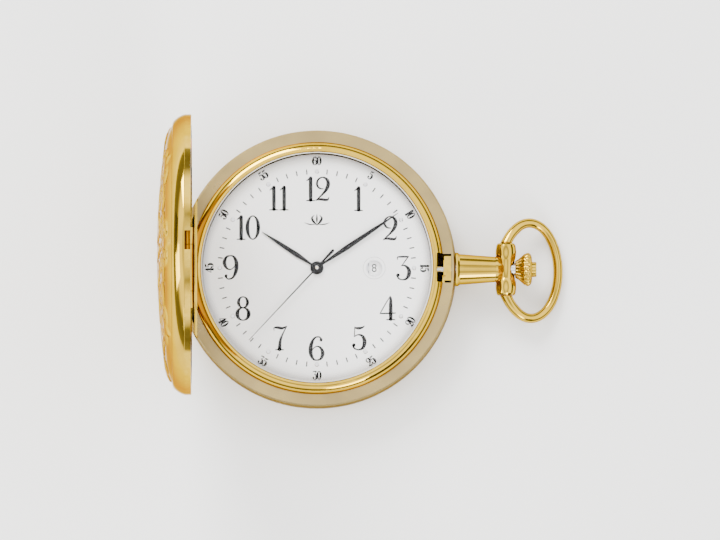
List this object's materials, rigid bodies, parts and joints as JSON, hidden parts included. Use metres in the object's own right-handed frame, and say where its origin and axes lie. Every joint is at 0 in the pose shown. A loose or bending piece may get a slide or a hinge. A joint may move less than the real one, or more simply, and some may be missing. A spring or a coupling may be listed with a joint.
{
  "type": "hunter pocket watch",
  "caption": "Gold hunter pocket watch, lid open: hinged engraved lid, white dial with date window, three hands, crown with release button, swinging bow, quartz movement.",
  "frame": {"origin": "centre of the flat of the case back, on the dial axis", "axes": "+Z out of the dial, +X to the crown at 3 o'clock, +Y to 12 o'clock"},
  "size_m": [0.0696, 0.048, 0.0534],
  "materials": {
    "polished_gold": "polished",
    "satin_gold": "satin",
    "glass": "polished",
    "white_dial": "satin",
    "silver_trim": "polished",
    "black_hands": "gloss",
    "rubber_seal": "matte",
    "nylon": "matte",
    "steel": "satin",
    "movement_brass": "satin",
    "white_plastic": "satin",
    "copper_wire": "satin",
    "green_board": "satin"
  },
  "bodies": {
    "case": {"case_middle": "satin_gold", "hinge_block": "polished_gold", "hinge_pin": "polished_gold", "lift_spring": "steel", "back_cover": "polished_gold", "back_gasket": "rubber_seal", "bezel": "polished_gold", "crystal_gasket": "nylon", "crystal": "glass", "pendant_neck": "polished_gold", "pendant_head": "polished_gold", "pendant_tube": "steel", "crown_gasket": "rubber_seal", "lock_spring_screw": "steel", "dial": "white_dial", "dial_feet": "steel", "dial_pips": "silver_trim", "date_frame": "silver_trim", "main_plate": "movement_brass", "train_bridge": "movement_brass", "bridge_screws": "steel", "battery": "steel", "battery_clamp": "steel", "stator": "steel", "coil_core": "steel", "coil_winding": "copper_wire", "circuit_board": "green_board", "quartz_can": "steel", "date_keeper": "steel", "lever_stud": "steel", "movement_holder": "nylon", "holder_clamps": "steel"},
    "lid": {"lid_cover": "polished_gold", "lid_rim": "polished_gold"},
    "bow": {"bow": "polished_gold"},
    "winding_square": {"sliding_pinion": "steel"},
    "crown": {"crown": "polished_gold", "stem": "steel"},
    "button": {"push_button": "polished_gold", "push_rod": "steel", "cross_pin": "steel"},
    "release": {"release_collar": "steel"},
    "catch": {"lock_spring": "polished_gold"},
    "lever": {"setting_lever": "steel"},
    "seconds_train": {"seconds_wheel": "movement_brass", "second_hand": "black_hands"},
    "rotor_shaft": {"rotor": "steel"},
    "intermediate_shaft": {"intermediate_wheel": "white_plastic"},
    "third_shaft": {"third_wheel": "movement_brass"},
    "minute_train": {"centre_wheel": "movement_brass", "cannon_pinion": "movement_brass", "minute_hand": "black_hands"},
    "minute_motion": {"minute_wheel": "movement_brass"},
    "hour_train": {"hour_wheel": "movement_brass", "hour_hand": "black_hands"},
    "date_drive": {"date_driving_wheel": "white_plastic"},
    "date_ring": {"date_disc": "white_dial"},
    "setting_gear": {"setting_wheel": "movement_brass"}
  },
  "joints": [
    {"name": "lid_hinge", "type": "hinge", "parent": "case", "child": "lid", "pos_m": [-0.0218, 0, 0.0076], "axis": [0, 1, 0], "range_deg": [0, 90]},
    {"name": "bow_swing", "type": "hinge", "parent": "case", "child": "bow", "pos_m": [0.03255, 0, 0.0051], "axis": [0, 1, 0], "range_deg": [-160, 110]},
    {"name": "crown_turn", "type": "hinge", "parent": "case", "child": "winding_square", "pos_m": [0, 0, 0.0051], "axis": [1, 0, 0], "continuous": true},
    {"name": "crown_pull", "type": "slide", "parent": "winding_square", "child": "crown", "axis": [1, 0, 0], "range_m": [0, 0.001]},
    {"name": "button_press", "type": "slide", "parent": "crown", "child": "button", "axis": [-1, 0, 0], "range_m": [0, 0.0008], "stiffness_N_per_m": 200},
    {"name": "collar_slide", "type": "slide", "parent": "case", "child": "release", "axis": [-1, 0, 0], "range_m": [0, 0.0008]},
    {"name": "catch_swing", "type": "hinge", "parent": "case", "child": "catch", "pos_m": [0.01794, -0.01256, 0.0055], "axis": [0, 0, 1], "range_deg": [0, 3.7]},
    {"name": "lever_swing", "type": "hinge", "parent": "case", "child": "lever", "pos_m": [0.0115, 0.00375, 0.0041], "axis": [0, 0, 1], "range_deg": [0, 17.9]},
    {"name": "seconds_turn", "type": "hinge", "parent": "case", "child": "seconds_train", "pos_m": [0, 0, 0.0055], "axis": [0, 0, -1], "continuous": true},
    {"name": "rotor_turn", "type": "hinge", "parent": "case", "child": "rotor_shaft", "pos_m": [0.00113, 0.00556, 0.0055], "axis": [0, 0, -1], "continuous": true},
    {"name": "intermediate_turn", "type": "hinge", "parent": "case", "child": "intermediate_shaft", "pos_m": [-0.00071, 0.00402, 0.0055], "axis": [0, 0, -1], "continuous": true},
    {"name": "third_turn", "type": "hinge", "parent": "case", "child": "third_shaft", "pos_m": [-0.00288, -0.00288, 0.0055], "axis": [0, 0, -1], "continuous": true},
    {"name": "minute_turn", "type": "hinge", "parent": "case", "child": "minute_train", "pos_m": [0, 0, 0.0055], "axis": [0, 0, -1], "continuous": true},
    {"name": "minute_motion_turn", "type": "hinge", "parent": "case", "child": "minute_motion", "pos_m": [0.00271, 0.00099, 0.0055], "axis": [0, 0, -1], "continuous": true},
    {"name": "hour_turn", "type": "hinge", "parent": "case", "child": "hour_train", "pos_m": [0, 0, 0.0055], "axis": [0, 0, -1], "continuous": true},
    {"name": "date_drive_turn", "type": "hinge", "parent": "case", "child": "date_drive", "pos_m": [-0.00222, 0.00265, 0.0055], "axis": [0, 0, -1], "continuous": true},
    {"name": "date_ring_turn", "type": "hinge", "parent": "case", "child": "date_ring", "pos_m": [0, 0, 0.0055], "axis": [0, 0, -1], "continuous": true},
    {"name": "setting_turn", "type": "hinge", "parent": "case", "child": "setting_gear", "pos_m": [0.00597, -0.00054, 0.0055], "axis": [0, 0, -1], "continuous": true}
  ],
  "couplings": [
    {"joint": "collar_slide", "follows": "button_press", "ratio": 1},
    {"joint": "catch_swing", "follows": "button_press", "rad_per_m": 79.612},
    {"joint": "lever_swing", "follows": "crown_pull", "rad_per_m": 310},
    {"joint": "rotor_turn", "follows": "seconds_turn", "ratio": 30},
    {"joint": "intermediate_turn", "follows": "seconds_turn", "ratio": -7.5},
    {"joint": "third_turn", "follows": "seconds_turn", "ratio": -0.13333},
    {"joint": "minute_turn", "follows": "seconds_turn", "ratio": 0.016667},
    {"joint": "minute_motion_turn", "follows": "seconds_turn", "ratio": -0.0055556},
    {"joint": "hour_turn", "follows": "seconds_turn", "ratio": 0.0013889},
    {"joint": "date_drive_turn", "follows": "seconds_turn", "ratio": -0.00069444},
    {"joint": "setting_turn", "follows": "seconds_turn", "ratio": 0.0083333}
  ]
}
